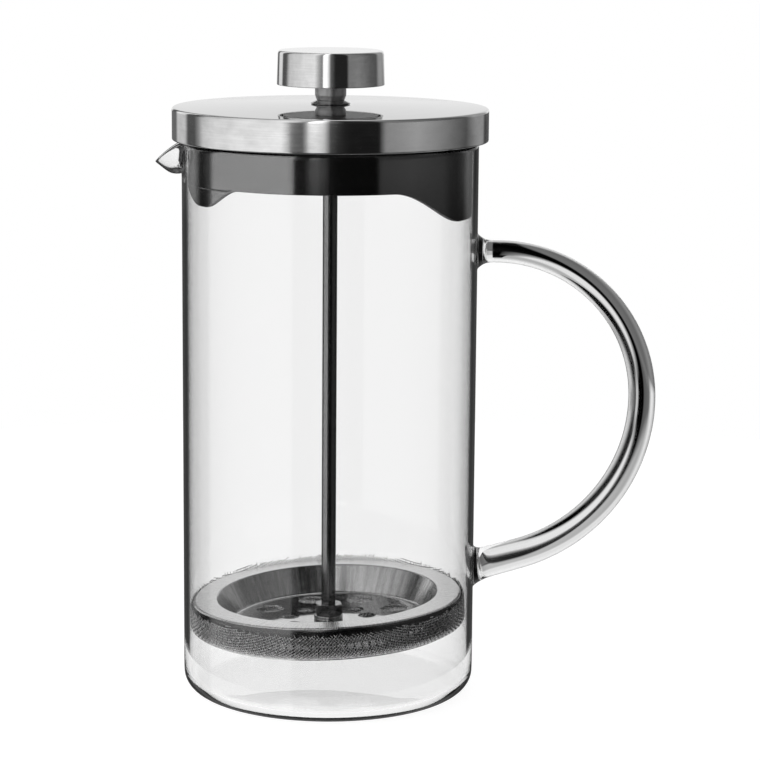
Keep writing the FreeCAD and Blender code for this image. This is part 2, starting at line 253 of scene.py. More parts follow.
def make(name, bm, body, slot, material, *nodes, recalc=True):
    """Piece that rides on its body and stands for the CAD nodes."""
    obj = mesh_object(name, bm, recalc)
    obj.data.shade_smooth()
    obj.data.materials.append(material)
    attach(obj, body)
    if nodes:
        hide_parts(*nodes)
    return obj


def soften(obj, angle=32.0):
    """Keeps hard corners crisp and flat faces flat under smooth shading."""
    obj.data.set_sharp_from_angle(angle=math.radians(angle))
    weighted = obj.modifiers.new("even_normals", "WEIGHTED_NORMAL")
    weighted.keep_sharp = True
    return obj


def drill(obj, cutters):
    """Cuts round or boxed openings out of a mesh and applies the cut."""
    bm = bmesh.new()
    for cutter in cutters:
        part = bpy.data.meshes.new("cutter")
        cutter.to_mesh(part)
        cutter.free()
        bm.from_mesh(part)
        bpy.data.meshes.remove(part)
    tool = mesh_object("cutters", bm)
    cut = obj.modifiers.new("openings", "BOOLEAN")
    cut.operation = "DIFFERENCE"
    cut.solver = "EXACT"
    cut.object = tool
    bpy.context.view_layer.update()
    evaluated = obj.evaluated_get(bpy.context.evaluated_depsgraph_get())
    result = bpy.data.meshes.new_from_object(evaluated)
    obj.modifiers.remove(cut)
    obj.data = result
    bpy.data.objects.remove(tool)
    return obj


def bevel(obj, width):
    edge = obj.modifiers.new("worn_edges", "BEVEL")
    edge.width = width * MM
    edge.segments = 2
    edge.limit_method = "ANGLE"
    edge.angle_limit = math.radians(50)
    edge.use_clamp_overlap = True
    return obj


def close_cutter(bm, rings):
    """Solid between two rings."""
    join_rings(bm, rings)
    bm.faces.new(rings[0])
    bm.faces.new(rings[1])
    return bm


def round_cutter(centre, radius, depth, sides=48):
    bm = bmesh.new()
    rings = []
    for z in (centre.z - depth / 2, centre.z + depth / 2):
        ring = [bm.verts.new(centre.xy.to_3d() + polar(radius, 360 * k / sides, z)) for k in range(sides)]
        rings.append(ring)
    return close_cutter(bm, rings)


# --- node helpers ---
def add(tree, kind, inputs=None, **settings):
    """New node with its settings, and its inputs set or linked."""
    node = tree.nodes.new(kind)
    for name, value in settings.items():
        setattr(node, name, value)
    for key, value in (inputs or {}).items():
        if isinstance(value, bpy.types.NodeSocket):
            tree.links.new(value, node.inputs[key])
        else:
            node.inputs[key].default_value = value
    return node


def object_place(tree):
    return add(tree, "ShaderNodeTexCoord").outputs["Object"]


def calc(tree, operation, *values):
    return add(tree, "ShaderNodeMath", dict(enumerate(values)), operation=operation).outputs[0]


def ramp(tree, value, stops):
    """Grey ramp: (position, value) stops."""
    node = add(tree, "ShaderNodeValToRGB", {"Fac": value})
    band = node.color_ramp
    while len(band.elements) < len(stops):
        band.elements.new(0.5)
    for element, (position, level) in zip(band.elements, stops):
        element.position = position
        element.color = (level, level, level, 1)
    return node.outputs["Color"]


def spread(tree, value, low, high):
    """Takes a noise value, mostly 0.3 to 0.7, to the range low to high."""
    inputs = {"Value": value, "From Min": 0.3, "From Max": 0.7, "To Min": low, "To Max": high}
    return add(tree, "ShaderNodeMapRange", inputs).outputs["Result"]


def noise(tree, vector, scale, detail=3.0, roughness=0.55):
    inputs = {"Vector": vector, "Scale": scale, "Detail": detail, "Roughness": roughness}
    return add(tree, "ShaderNodeTexNoise", inputs).outputs["Fac"]


def bump(tree, height, distance):
    return add(tree, "ShaderNodeBump", {"Height": height, "Distance": distance}).outputs["Normal"]


def grey_of(tree, value):
    return add(tree, "ShaderNodeCombineColor", {"Red": value, "Green": value, "Blue": value}).outputs["Color"]


def turned_vector(tree, around, across):
    """Seamless coordinates on a turned part: slow around the axis, quick across it, or the other way."""
    where = object_place(tree)
    flat = add(tree, "ShaderNodeVectorMath", {0: where, 1: (1, 1, 0)}, operation="MULTIPLY")
    unit = add(tree, "ShaderNodeVectorMath", {0: flat.outputs[0]}, operation="NORMALIZE").outputs[0]
    radius = add(tree, "ShaderNodeVectorMath", {0: flat.outputs[0]}, operation="LENGTH").outputs["Value"]
    split = add(tree, "ShaderNodeSeparateXYZ", {0: unit})
    height = add(tree, "ShaderNodeSeparateXYZ", {0: where}).outputs["Z"]
    inputs = {
        "X": calc(tree, "MULTIPLY", split.outputs["X"], around),
        "Y": calc(tree, "MULTIPLY", split.outputs["Y"], around),
        "Z": calc(tree, "MULTIPLY", calc(tree, "ADD", radius, height), across),
    }
    return add(tree, "ShaderNodeCombineXYZ", inputs).outputs[0]


def new_material(name):
    material = bpy.data.materials.new(name)
    material.use_nodes = True
    tree = material.node_tree
    return material, tree, tree.nodes["Principled BSDF"].inputs


# --- materials ---
def glass_material():
    """Clear borosilicate glass with the faint waves of drawn tube."""
    material, tree, bsdf = new_material("clear_glass")
    bsdf["Base Color"].default_value = (1.0, 1.0, 1.0, 1)
    bsdf["Transmission Weight"].default_value = 1.0
    bsdf["IOR"].default_value = 1.47
    where = object_place(tree)
    waves = noise(tree, where, 28.0, 1.0)
    tree.links.new(bump(tree, waves, 0.00004), bsdf["Normal"])
    haze = spread(tree, noise(tree, where, 60.0), 0.0, 0.004)
    tree.links.new(haze, bsdf["Roughness"])
    return material


def steel_material(name, level, rough, around, across, grain, anisotropy, blotch):
    """Brushed steel: streaks set by the two directions, with blotchy wear over them."""
    material, tree, bsdf = new_material(name)
    bsdf["Metallic"].default_value = 1.0
    bsdf["Anisotropic"].default_value = anisotropy
    bsdf["Anisotropic Rotation"].default_value = 0.25
    streaks = noise(tree, turned_vector(tree, around, across), 1.0, 4.0, 0.6)
    smears = noise(tree, turned_vector(tree, around * 3, across * 0.12), 1.0, 2.0, 0.5)
    brushed = spread(tree, streaks, level * 0.9, level)
    tone = calc(tree, "MULTIPLY", brushed, spread(tree, smears, 1 - blotch, 1.0))
    tree.links.new(grey_of(tree, tone), bsdf["Base Color"])
    scratched = spread(tree, streaks, rough * 0.85, rough * 1.1)
    finish = calc(tree, "ADD", scratched, spread(tree, smears, 0, rough * 0.2))
    tree.links.new(finish, bsdf["Roughness"])
    tree.links.new(bump(tree, streaks, grain), bsdf["Normal"])
    if anisotropy:
        tangent = add(tree, "ShaderNodeTangent", direction_type="RADIAL", axis="Z")
        tree.links.new(tangent.outputs[0], bsdf["Tangent"])
    return material


def dome(material, lift, reach):
    """Bows what a flat top mirrors, as on a sheet that rises by lift from its edge to its middle."""
    tree = material.node_tree
    grain = next(node for node in tree.nodes if node.type == "BUMP")
    where = object_place(tree)
    place = add(tree, "ShaderNodeSeparateXYZ", {0: where}).outputs
    squares = [calc(tree, "MULTIPLY", place[axis], place[axis]) for axis in ("X", "Y")]
    height = calc(tree, "DIVIDE", calc(tree, "ADD", *squares), -(reach ** 2))
    tree.links.new(bump(tree, height, lift), grain.inputs["Normal"])


def wire_material(name, level, rough):
    """Drawn wire: small changes of tone from wire to wire."""
    material, tree, bsdf = new_material(name)
    bsdf["Metallic"].default_value = 1.0
    where = object_place(tree)
    patches = noise(tree, where, 900.0, 2.0)
    cloud = noise(tree, where, 60.0, 2.0)
    tone = calc(tree, "MULTIPLY", spread(tree, patches, level * 0.75, level), spread(tree, cloud, 0.85, 1.0))
    tree.links.new(grey_of(tree, tone), bsdf["Base Color"])
    tree.links.new(spread(tree, patches, rough * 0.7, rough * 1.3), bsdf["Roughness"])
    return material


def plastic_material(name, level, rough, gloss, grain_scale, grain_depth):
    """Moulded plastic with a fine eroded grain and rubbed patches."""
    material, tree, bsdf = new_material(name)
    bsdf["IOR"].default_value = gloss
    where = object_place(tree)
    rubbed = noise(tree, where, 45.0, 3.0)
    grain = noise(tree, where, grain_scale, 2.0)
    tree.links.new(grey_of(tree, spread(tree, rubbed, level * 0.8, level * 1.25)), bsdf["Base Color"])
    tree.links.new(spread(tree, rubbed, rough * 0.85, rough * 1.2), bsdf["Roughness"])
    tree.links.new(bump(tree, grain, grain_depth), bsdf["Normal"])
    return material


def floor_material(name, level, glow):
    """White table with a trace of paper tooth."""
    material, tree, bsdf = new_material(name)
    where = object_place(tree)
    tooth = noise(tree, where, 14.0, 2.0)
    tree.links.new(grey_of(tree, spread(tree, tooth, level, level + 0.01)), bsdf["Base Color"])
    bsdf["Roughness"].default_value = 0.9
    bsdf["Specular IOR Level"].default_value = 0.0
    bsdf["Emission Color"].default_value = (1, 1, 1, 1)
    bsdf["Emission Strength"].default_value = glow
    return material


# --- glass vessel ---
def wall_rows():
    """Heights of the grid's rows on the straight wall, and the rows at the two roots' centres."""
    cell = 2 * math.pi * GLASS_R / COLUMNS
    heights = [HEEL_R]
    centres = []
    for root_z, rows_below in ((lower_root_z(), 4), (BEND_TOP_Z, 14)):
        start, low = heights[-1], root_z - ROOT_HALF * cell
        heights += [mix(start, low, (i + 1) / rows_below) for i in range(rows_below)]
        heights += [low + cell * (i + 1) for i in range(2 * ROOT_HALF)]
        centres.append(len(heights) - 1 - ROOT_HALF)
    heights += [mix(heights[-1], SPOUT_FOOT_Z, (i + 1) / 2) for i in range(2)]
    return heights, centres


def spout_line(t, weight):
    """Middle of the wall near the rim, at t from 0 to 1, pushed out by the spout's weight."""
    middle = GLASS_R - WALL / 2
    plain = Vector((middle, mix(SPOUT_FOOT_Z, RIM_Z - WALL / 2, t)))
    foot = Vector((middle, SPOUT_FOOT_Z))
    knee = foot + Vector(SPOUT_BELLY)
    tip = Vector((SPOUT_TIP_R - SPOUT_INSET, RIM_Z - SPOUT_DROP))
    beak = foot * (1 - t) ** 3 + knee * 3 * t * (1 - t) + tip * t ** 3
    return Vector((mix(plain.x, beak.x, weight), mix(plain.y, beak.y, weight ** SPOUT_FALL)))


def vessel_line(azimuth, heights):
    """Middle line of the glass from the base's centre to the rim: (r, z) points."""
    line = [Vector((r, BASE_T / 2)) for r in BASE_RINGS]
    centre = Vector((GLASS_R - HEEL_R, HEEL_R))
    for i in range(HEEL_STEPS + 1):
        turn = math.radians(90 / HEEL_STEPS * i)
        reach = Vector((HEEL_R - WALL / 2, HEEL_R - BASE_T / 2))
        line.append(centre + Vector((reach.x * math.sin(turn), -reach.y * math.cos(turn))))
    line += [Vector((GLASS_R - WALL / 2, z)) for z in heights[1:]]
    sideways = GLASS_R * math.sin(math.radians(azimuth + 90)) / SPOUT_HALF_WIDTH
    near = math.cos(math.radians(azimuth + 90)) > 0 and abs(sideways) < 1
    weight = 1 - sideways ** 2 if near else 0.0
    line += [spout_line((i + 1) / SPOUT_ROWS, weight) for i in range(SPOUT_ROWS)]
    return line, weight


def skin(line, weight):
    """Outer points, rim cap and inner points of the glass, which thins towards the spout's lip."""
    outer, inner = [], []
    for i, point in enumerate(line):
        along = (line[min(i + 1, len(line) - 1)] - line[max(i - 1, 0)]).normalized()
        outward = Vector((along.y, -along.x))
        share = smooth((point.y - BASE_T / 2) / HEEL_R)
        lip = weight * smooth((i + 1 + SPOUT_ROWS - len(line)) / SPOUT_ROWS)
        half = mix(mix(BASE_T, WALL, share), SPOUT_WALL, lip) / 2
        outer.append(point + outward * half)
        inner.append(point - outward * half)
    cap = []
    for turn in (45, 90, 135):
        angle = math.radians(turn)
        cap.append(line[-1] + (outward * math.cos(angle) + along * math.sin(angle)) * half)
    return outer, cap, inner


def lower_root_z():
    """Height at which the handle's straight lower end meets the wall."""
    x = BEND_OUT_X - BEND_LOW_R + BEND_LOW_R * math.cos(BEND_LOW_TURN)
    z = BEND_MID_Z - BEND_LOW_R * math.sin(BEND_LOW_TURN)
    return z - (x - GLASS_R) / math.tan(BEND_LOW_TURN)


def handle_lengths():
    """Lengths of the rod's upper run, two arcs and lower run."""
    end_x = BEND_OUT_X - BEND_LOW_R + BEND_LOW_R * math.cos(BEND_LOW_TURN)
    return (
        BEND_OUT_X - BEND_TOP_R - GLASS_R,
        BEND_TOP_R * math.pi / 2,
        BEND_LOW_R * BEND_LOW_TURN,
        (end_x - GLASS_R) / math.sin(BEND_LOW_TURN),
    )


def handle_point(s):
    """Point and direction of the rod's centre line at a distance s from the upper root."""
    first, arc, low_arc = handle_lengths()[:3]
    if s < first:
        return Vector((GLASS_R + s, 0, BEND_TOP_Z)), Vector((1, 0, 0))
    if s < first + arc:
        turn = math.pi / 2 - (s - first) / BEND_TOP_R
        centre, radius = Vector((BEND_OUT_X - BEND_TOP_R, 0, BEND_MID_Z)), BEND_TOP_R
    else:
        turn = -min(s - first - arc, low_arc) / BEND_LOW_R
        centre, radius = Vector((BEND_OUT_X - BEND_LOW_R, 0, BEND_MID_Z)), BEND_LOW_R
    point = centre + radius * Vector((math.cos(turn), 0, math.sin(turn)))
    along = Vector((math.sin(turn), 0, -math.cos(turn)))
    return point + along * max(0.0, s - first - arc - low_arc), along


def rod_radius(s, total):
    """Tapered rod with a flare where it melts into the wall."""
    half = sum(handle_lengths()[:2])
    if s < half:
        radius = mix(ROD_RADII[0], ROD_RADII[1], s / half)
    else:
        radius = mix(ROD_RADII[1], ROD_RADII[2], (s - half) / (total - half))
    for reach, root, rod in ((s, ROOT_RADII[0], ROD_RADII[0]), (total - s, ROOT_RADII[1], ROD_RADII[2])):
        radius += (root - rod) * max(0.0, 1 - reach / ROOT_FLARE) ** 2
    return radius


def root_loop(grid, column, row, flipped):
    """The vertices round a root's square opening, in order from +Y."""
    square = []
    for i in range(8 * ROOT_HALF):
        side, step = divmod(i + ROOT_HALF, 2 * ROOT_HALF)
        along = step - ROOT_HALF
        sides = ((ROOT_HALF, along), (-along, ROOT_HALF), (-ROOT_HALF, -along), (along, -ROOT_HALF))
        du, dv = sides[side % 4]
        square.append(grid[row + dv][column + du])
    return square[:1] + square[:0:-1] if flipped else square


def on_wall(u, v, z):
    """Point of the outer wall at a sideways distance u along it, and v above z, by the handle."""
    return polar(GLASS_R, 90 + math.degrees(u / GLASS_R), z + v)


def handle_rings(bm, total):
    """Rings of the rod from root to root."""
    flare = [0.9, 2.0, 3.3, 5.0]
    middle = [mix(ROD_END, total - ROD_END, i / 48) for i in range(49)]
    stations = flare + middle + [total - s for s in reversed(flare)]
    count = 8 * ROOT_HALF
    rings = []
    for s in stations:
        point, along = handle_point(s)
        square_on = 1 - min(1.0, (total - s) / ROOT_FLARE)
        along = along.lerp(Vector((-1, 0, 0)), square_on).normalized() if square_on > 0 else along
        up = along.cross(Vector((0, 1, 0)))
        radius = rod_radius(s, total)
        ring = []
        for k in range(count):
            turn = 2 * math.pi * k / count
            sideways = Vector((0, radius * math.cos(turn), 0))
            ring.append(bm.verts.new(point + sideways + up * radius * math.sin(turn)))
        rings.append(ring)
    return rings


def wall_rings(bm, z, root, flipped):
    """Two rings on the wall that lead from the square opening to the root."""
    count = 8 * ROOT_HALF
    rings = []
    for radius in (root + 0.6, root + 0.1):
        ring = []
        for k in range(count):
            turn = (-1 if flipped else 1) * 2 * math.pi * k / count
            ring.append(bm.verts.new(on_wall(radius * math.cos(turn), radius * math.sin(turn), z)))
        rings.append(ring)
    return rings


def build_glass(material):
    """Beaker, spout and fused handle as one closed skin of glass."""
    heights, centres = wall_rows()
    bm = bmesh.new()
    columns = []
    for i in range(COLUMNS):
        azimuth = 360 * i / COLUMNS
        outer, cap, inner = skin(*vessel_line(azimuth, heights))
        columns.append([bm.verts.new(polar(p.x, azimuth, p.y)) for p in outer + cap + inner[::-1]])
    rows = [list(row) for row in zip(*columns)]
    heel_rows = len(BASE_RINGS) + HEEL_STEPS        # rows before the first height
    east = COLUMNS // 4
    holes = [heel_rows + centre for centre in centres]
    for r, (low, high) in enumerate(zip(rows, rows[1:])):
        for c in range(COLUMNS):
            inside = east - ROOT_HALF <= c < east + ROOT_HALF
            if inside and any(hole - ROOT_HALF <= r < hole + ROOT_HALF for hole in holes):
                continue
            d = (c + 1) % COLUMNS
            bm.faces.new((low[c], low[d], high[d], high[c]))
    for row, z in ((rows[0], 0.0), (rows[-1], BASE_T)):
        join_rings(bm, [[bm.verts.new((0, 0, z))], row])
    total = sum(handle_lengths())
    upper = [root_loop(rows, east, holes[1], False)] + wall_rings(bm, BEND_TOP_Z, ROOT_RADII[0], False)
    lower = [root_loop(rows, east, holes[0], True)] + wall_rings(bm, lower_root_z(), ROOT_RADII[1], True)
    join_rings(bm, upper + handle_rings(bm, total) + lower[::-1])
    obj = make("glass_vessel", bm, "beaker", "clear_glass", material, "glass_beaker", "glass_handle")
    finer = obj.modifiers.new("smooth_glass", "SUBSURF")
    finer.levels = finer.render_levels = 1
    return obj


# --- lid ---
def build_lid(side_material, top_material):
    """Drawn cap: rolled lower edge, brushed side, softly rounded shoulder and spun crown."""
    crown = LID_HIGH.z + CROWN_LIFT
    edge_z = LID_HIGH.z - CROWN_FALL
    outline = rounded([
        (LID_HOLE_R, crown), (CROWN_R, crown, 3.0), (LID_R, edge_z, 1.0), (LID_R, LID_LOW.z, 1.2),
        (LID_R - SHEET - 0.3, LID_LOW.z, 0.2), (LID_R - SHEET, LID_LOW.z + 1.6, 0.5),
        (LID_R - SHEET, edge_z - SHEET, 0.6),
        (CROWN_R, crown - SHEET, 3.0), (LID_HOLE_R, crown - SHEET),
    ], 6)
    obj = make("lid_shell", lathe(outline, 192), "lid", "lid_steel", side_material, "lid_cap")
    # The up-facing faces take the top steel, which is painted darker grey than the side as painted shade.
    obj.data.materials.append(top_material)
    for face in obj.data.polygons:
        face.material_index = 1 if face.normal.z > 0.7 else 0
    return soften(obj)


def from_spout(azimuth):
    """Degrees between an azimuth and the spout's."""
    return abs((azimuth + 90 + 180) % 360 - 180)


def skirt_edge_z(azimuth):
    """Height of the skirt's lower edge: long at the handle, with two ears by the spout."""
    away = from_spout(azimuth)
    ear = smooth((away - EAR_FROM) / EAR_RAMP) * smooth((EAR_TO - away) / EAR_RAMP)
    apron = smooth((away - APRON_FROM) / APRON_RAMP)
    return SKIRT_SHORT_Z - ear * EAR_DEPTH - apron * (SKIRT_SHORT_Z - RING_LOW.z)


def skirt_outline(azimuth):
    """Section of the pour ring at one azimuth: seat flange, web and skirt with a soft lower edge."""
    low = skirt_edge_z(azimuth)
    seat = RIM_Z + RIM_GAP
    top = RING_HIGH.z
    web = top - WEB_T
    flange = RING_HIGH.x
    outer = SKIRT_R
    step_z = SKIRT_SHORT_Z
    groove = EAR_STEP * smooth((step_z - low) / 1.2) if from_spout(azimuth) < EAR_GROOVE_TO else 0.0
    knee = max(step_z, low + 1.0)
    return rounded([
        (outer, low, 0.45), (outer, knee - 0.45), (outer - groove, knee - 0.05), (outer, knee + 0.1),
        (outer, seat, 0.25),
        (SEAT_R, seat, 0.3), (flange, seat + 2.1, 0.3), (flange, top, 0.4), (RING_HOLE_R, top, 0.3),
        (RING_HOLE_R, web, 0.3), (outer - SKIRT_T, web, 0.8), (outer - SKIRT_T, low, 0.45),
    ], 3)


def slot_cutters():
    """Pour slots in the skirt behind the spout."""
    cutters = []
    middle_z = sum(SLOT_Z) / 2
    half = (SLOT_W / 2, (SLOT_Z[1] - SLOT_Z[0]) / 2)
    for i in range(SLOTS):
        azimuth = -90 + (i - (SLOTS - 1) / 2) * SLOT_STEP
        across = polar(1, azimuth + 90)
        bm = bmesh.new()
        rings = []
        for radius in (SKIRT_R - SKIRT_T - 2, SKIRT_R + 2):
            centre = polar(radius, azimuth, middle_z)
            ring = []
            for k in range(32):
                turn = 2 * math.pi * (k + 0.5) / 32
                lift = math.copysign(half[1] - half[0], math.sin(turn))
                ring.append(bm.verts.new(
                    centre + across * half[0] * math.cos(turn)
                    + Vector((0, 0, lift + half[0] * math.sin(turn)))))
            rings.append(ring)
        cutters.append(close_cutter(bm, rings))
    return cutters


def build_pour_ring(material):
    bm = bmesh.new()
    columns = []
    count = 240
    for i in range(count):
        azimuth = 360 * i / count
        columns.append([bm.verts.new(polar(r, azimuth, z)) for r, z in skirt_outline(azimuth)])
    join_rings(bm, [list(ring) for ring in zip(*columns)], closed=True)
    obj = make("pour_ring_moulding", bm, "pour_ring", "black_plastic", material, "pour_ring")
    drill(obj, slot_cutters())
    return soften(obj, 40)


def build_bush(material):
    """Collar that guides the rod, standing on the crown."""
    bore = ROD_HIGH.x + 0.05
    crown = LID_HIGH.z + CROWN_LIFT + 0.05
    outline = rounded([
        (bore, BUSH_LOW.z, 0.1), (SHANK_R, BUSH_LOW.z, 0.3), (SHANK_R, crown, 0.1),
        (BUSH_HIGH.x - 0.3, crown, 0.2), (BUSH_HIGH.x, crown + 0.4, 0.35),
        (SHANK_R + 0.6, BUSH_HIGH.z, 0.4), (bore, BUSH_HIGH.z, 0.12),
    ], 4)
    return soften(make("guide_collar", lathe(outline, 96), "bush", "turned_steel", material, "rod_bush"))


# --- knob and rod ---
def build_knob_cap(side_material, top_material):
    """Drawn shell, a little narrower at its rounded top."""
    wall = KNOB_WALL
    top_r = KNOB_HIGH.x - KNOB_TAPER
    low, high = KNOB_LOW.z, KNOB_HIGH.z
    outline = rounded([
        (0, high), (top_r, high, 1.1), (KNOB_HIGH.x, low, 0.3), (KNOB_HIGH.x - wall, low, 0.3),
        (top_r - wall, high - wall, 0.5), (0, high - wall),
    ], 6)
    shell = make("knob_cap", lathe(outline, 160), "plunger", "knob_steel", side_material, "knob_shell")
    shell.data.materials.append(top_material)
    for face in shell.data.polygons:
        face.material_index = 1 if face.normal.z > 0.97 else 0
    return soften(shell)


def build_knob_base(material):
    low, high = KNOB_LOW.z, KNOB_LOW.z + KNOB_BASE_T
    outer = BASE_HIGH.x
    disc = rounded([(THREAD_R, low, 0.1), (outer, low, 0.3), (outer, high, 0.1), (THREAD_R, high, 0.1)], 3)
    return soften(make("knob_underside", lathe(disc), "plunger", "turned_steel", material, "knob_base"))


def build_neck(material):
    low, high = NECK_LOW.z, NECK_HIGH.z
    shaft, step = ROD_HIGH.x, high - THREAD_TOP
    radius = NECK_HIGH.x
    outline = rounded([
        (shaft, low, 0.1), (NECK_FOOT_R, low, 0.3), (radius, low + 1.65, 0.4), (radius, high, 0.15),
        (THREAD_R, high), (THREAD_R, step), (shaft, step),
    ], 4)
    return soften(make("neck_sleeve", lathe(outline, 96), "plunger", "turned_steel", material, "knob_neck"))


def threaded(z_low, z_high):
    """Outline of a thread's crests and roots between two heights."""
    outline = []
    turns = int((z_high - z_low) / THREAD_PITCH)
    for i in range(turns):
        z = z_low + i * THREAD_PITCH
        outline += [(THREAD_R - THREAD_DEPTH, z + 0.1 * THREAD_PITCH)]
        outline += [(THREAD_R, z + share * THREAD_PITCH) for share in (0.45, 0.6)]
    return outline


def build_rod(material):
    """Ground shaft with a cut thread at both ends."""
    shaft, tip = ROD_HIGH.x, THREAD_R - 0.4
    low, high = ROD_LOW.z, ROD_HIGH.z
    shoulder = NUT_HIGH.z
    step = NECK_HIGH.z - THREAD_TOP
    outline = [(0, low), (tip, low)] + threaded(low + 0.4, shoulder)
    outline += rounded([
        (THREAD_R, shoulder), (shaft, shoulder, 0.2), (shaft, step, 0.2), (THREAD_R, step)], 3)
    outline += threaded(step + 0.3, high - 0.4) + [(tip, high), (0, high)]
    obj = make("polished_rod", lathe(outline, 64), "plunger", "rod_steel", material, "plunger_rod")
    return soften(obj)


# --- filter ---
def build_nut(material):
    """Hex nut with turned chamfers on both faces."""
    low, high = NUT_LOW.z, NUT_HIGH.z
    flat_r = NUT_CORNER_R * math.cos(math.radians(30))
    bm = bmesh.new()
    columns = []
    for i in range(96):
        angle = 360 * i / 96
        from_corner = math.radians((angle + 30) % 60 - 30)
        edge = flat_r / math.cos(math.radians(30) - abs(from_corner))
        dip = max(0.0, edge - NUT_CHAMFER_R) * 0.55
        section = [
            (THREAD_R, low + 0.25), (THREAD_R + 0.3, low), (NUT_CHAMFER_R, low), (edge, low + dip),
            (edge, high - dip), (NUT_CHAMFER_R, high), (THREAD_R + 0.35, high), (THREAD_R, high - 0.3),
        ]
        columns.append([bm.verts.new(polar(r, angle + NUT_TURN, z)) for r, z in section])
    join_rings(bm, [list(ring) for ring in zip(*columns)], closed=True)
    return soften(make("hex_nut", bm, "plunger", "turned_steel", material, "clamp_nut"), 22)


def build_washer(material):
    low, high = WASHER_LOW.z, WASHER_HIGH.z
    outer = WASHER_HIGH.x
    ring = rounded([(THREAD_R, low), (outer, low, 0.3), (outer, high, 0.35), (THREAD_R, high, 0.1)], 4)
    return soften(make("flat_washer", lathe(ring, 80), "plunger", "turned_steel", material, "clamp_washer"))


def build_hub(material):
    """Screwed hub under the stack, with a small dimple below and a blind thread above."""
    low, high = HUB_LOW.z, HUB_HIGH.z
    shelf, end, outer = CROSS_LOW.z, low + 1.5, HUB_HIGH.x
    outline = rounded([
        (0, low), (1.4, low, 0.2), (2.2, low + 0.5, 0.2), (outer, low, 1.2), (outer, shelf, 0.3),
        (BOSS_R, shelf, 0.1), (BOSS_R, high, 0.2), (THREAD_R, high), (THREAD_R, end), (0, end),
    ], 5)
    outline[0] = (0, low + 0.4)
    return soften(make("hub_screw", lathe(outline, 80), "plunger", "turned_steel", material, "filter_hub"))


def lean(obj):
    """The filter stands a little askew in the glass, higher at the handle."""
    pivot = Vector((0, 0, SCREEN_LOW.z * MM))
    turn = Matrix.Rotation(-LEAN, 4, "Y")
    obj.data.transform(Matrix.Translation(pivot) @ turn @ Matrix.Translation(-pivot))
    return obj


def hole_ring(count, ring_r, hole_r, first, z):
    return [round_cutter(polar(ring_r, first + 360 / count * i, z), hole_r, 4) for i in range(count)]


def build_dish(middle, rim, lip, wall):
    """Pressed dish with a flat rim, a turned-down lip and two rings of holes."""
    t = PLATE_T
    floor_z = DISH_LOW.z + t
    rim_z, lip_z = DISH_HIGH.z, DISH_HIGH.z - DISH_LIP
    outer = DISH_HIGH.x
    outline = rounded([
        (THREAD_R, floor_z), (DISH_FLOOR_R, floor_z, 1.6), (DISH_RIM_IN_R, rim_z, 0.9), (outer, rim_z, 1.4),
        (outer, lip_z, 0.2), (outer - t, lip_z, 0.2), (outer - t, rim_z - t, 0.8),
        (DISH_RIM_IN_R + 0.4, rim_z - t, 1.2), (DISH_FLOOR_R + 0.4, floor_z - t, 1.2),
        (THREAD_R, floor_z - t),
    ], 5)
    obj = make("pressed_dish", lathe(outline, 192), "plunger", "pressed_steel", middle, "dish_plate")
    cutters = []
    for ring_r, hole_r, first in (SMALL_HOLE, LARGE_HOLE):
        cutters += hole_ring(DISH_HOLES, ring_r, hole_r, first, floor_z)
    drill(obj, cutters)
    for material in (rim, lip, wall):
        obj.data.materials.append(material)
    for face in obj.data.polygons:
        reach = face.center.xy.length / MM
        on_rim = reach > DISH_RIM_IN_R + 0.5
        # The lip takes near-black steel as painted shade under the rim.
        on_lip = reach > outer - 0.9 and face.normal.z < 0.6
        # The sloping side takes steel painted darker than the floor as painted shade in the dish.
        on_wall_side = reach > DISH_FLOOR_R and abs(face.normal.z) < 0.9
        face.material_index = 2 if on_lip else 1 if on_rim else 3 if on_wall_side else 0
    obj.data.shade_smooth()
    lean(obj)
    bevel(obj, 0.12)
    return soften(obj)


def build_cross(material):
    """Lower plate with its eight large and four small openings."""
    low, high = CROSS_LOW.z, CROSS_HIGH.z
    outer = CROSS_HIGH.x
    outline = rounded([(BOSS_R, low), (outer, low, 0.25), (outer, high, 0.25), (BOSS_R, high)], 3)
    obj = make("support_plate", lathe(outline, 160), "plunger", "pressed_steel", material, "cross_plate")
    drill(obj, hole_ring(*CROSS_OUTER, high) + hole_ring(*CROSS_INNER, high))
    obj.data.shade_smooth()
    lean(obj)
    bevel(obj, 0.1)
    return soften(obj)


def build_coil(material):
    """Spring wound round the filter's edge, its two ends joined."""
    tube_r = (COIL_HIGH.z - COIL_LOW.z) / 2
    ring_r = COIL_HIGH.x - tube_r
    middle = (COIL_HIGH.z + COIL_LOW.z) / 2
    steps = COIL_TURNS * COIL_SIDES
    points, normals = [], []
    for i in range(steps):
        azimuth = 360 * i / steps
        turn = 2 * math.pi * COIL_TURNS * i / steps
        out = polar(1, azimuth) * math.cos(turn) + Vector((0, 0, math.sin(turn)))
        points.append(polar(ring_r, azimuth, middle) + out * (tube_r - COIL_WIRE_R))
        normals.append(out)
    bm = bmesh.new()
    tube(bm, points, normals, COIL_WIRE_R, 5, loop=True)
    return lean(make("wound_spring", bm, "plunger", "spring_steel", material, "edge_coil"))


def screen_point(s, direction):
    """Point and outward normal of the drawn-up screen at a distance s along it from the centre."""
    radius = SCREEN_HIGH.x - WIRE_R - SCREEN_GAP
    low = SCREEN_LOW.z + WIRE_R + 0.06
    flat = radius - SCREEN_CORNER
    turn = min(max(0.0, s - flat) / SCREEN_CORNER, math.pi / 2)
    rise = max(0.0, s - flat - SCREEN_CORNER * math.pi / 2)
    r = min(s, flat) + SCREEN_CORNER * math.sin(turn)
    z = low + SCREEN_CORNER * (1 - math.cos(turn)) + rise
    normal = direction * math.sin(turn) + Vector((0, 0, -math.cos(turn)))
    return direction * r + Vector((0, 0, z)), normal


